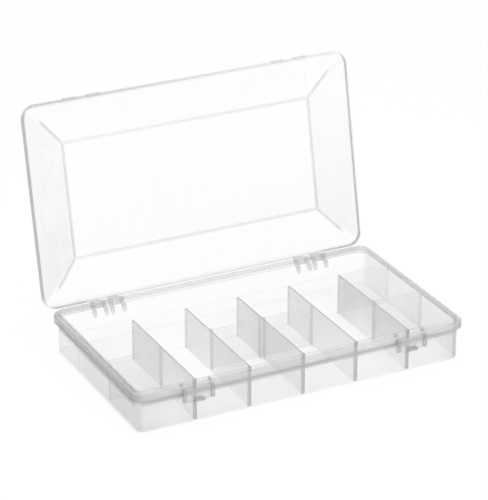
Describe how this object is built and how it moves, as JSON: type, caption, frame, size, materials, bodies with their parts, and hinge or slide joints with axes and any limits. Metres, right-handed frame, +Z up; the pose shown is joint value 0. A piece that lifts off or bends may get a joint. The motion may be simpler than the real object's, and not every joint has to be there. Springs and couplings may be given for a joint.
{
  "type": "compartment bead organizer",
  "caption": "Clear moulded bead organizer: compartment tray with lift-out dividers, one hinged lid with a raised panel, and swing clasps.",
  "frame": {"origin": "middle of the tray's flat base, on the surface it rests on", "axes": "+X along the length, +Y from the clasps at the front to the hinges at the back, +Z up"},
  "size_m": [0.2774, 0.2069, 0.1859],
  "materials": {
    "clear_tray": "clear natural polypropylene, moulded, slightly milky",
    "clear_lid": "clear natural polypropylene, thin moulded lid",
    "clear_insert": "clear natural polypropylene, lift-out divider",
    "clear_fitting": "clear natural polypropylene, small clasp"
  },
  "bodies": {
    "tray": {"tray_shell": "clear_tray", "tray_rim": "clear_tray", "rear_wall": "clear_tray", "cross_wall_1": "clear_tray", "cross_wall_2": "clear_tray", "cross_wall_3": "clear_tray", "cross_wall_4": "clear_tray", "cross_wall_5": "clear_tray", "hinge_ears_left": "clear_tray", "hinge_ears_right": "clear_tray", "clasp_ears_left": "clear_tray", "clasp_ears_right": "clear_tray"},
    "lid": {"lid_shell": "clear_lid", "lid_knuckles_left": "clear_lid", "lid_knuckles_right": "clear_lid", "catch_ridges_left": "clear_lid", "catch_ridges_right": "clear_lid"},
    "clasp_left": {"clasp_left": "clear_fitting"},
    "clasp_right": {"clasp_right": "clear_fitting"},
    "divider_1": {"divider_1": "clear_insert"},
    "divider_3": {"divider_3": "clear_insert"},
    "divider_4": {"divider_4": "clear_insert"},
    "divider_6": {"divider_6": "clear_insert"}
  },
  "joints": [
    {"name": "lid_hinge", "type": "hinge", "parent": "tray", "child": "lid", "pos_m": [0, 0.0817, 0.0281], "axis": [-1, 0, 0], "range_deg": [-101.7, 0]},
    {"name": "clasp_left_swing", "type": "hinge", "parent": "tray", "child": "clasp_left", "pos_m": [-0.0886, -0.0807, 0.0292], "axis": [-1, 0, 0], "range_deg": [0, 180]},
    {"name": "clasp_right_swing", "type": "hinge", "parent": "tray", "child": "clasp_right", "pos_m": [0.0886, -0.0807, 0.0292], "axis": [-1, 0, 0], "range_deg": [0, 180]},
    {"name": "divider_1_lift", "type": "slide", "parent": "tray", "child": "divider_1", "axis": [0, 0, 1], "range_m": [0, 0.045]},
    {"name": "divider_3_lift", "type": "slide", "parent": "tray", "child": "divider_3", "axis": [0, 0, 1], "range_m": [0, 0.045]},
    {"name": "divider_4_lift", "type": "slide", "parent": "tray", "child": "divider_4", "axis": [0, 0, 1], "range_m": [0, 0.045]},
    {"name": "divider_6_lift", "type": "slide", "parent": "tray", "child": "divider_6", "axis": [0, 0, 1], "range_m": [0, 0.045]}
  ]
}
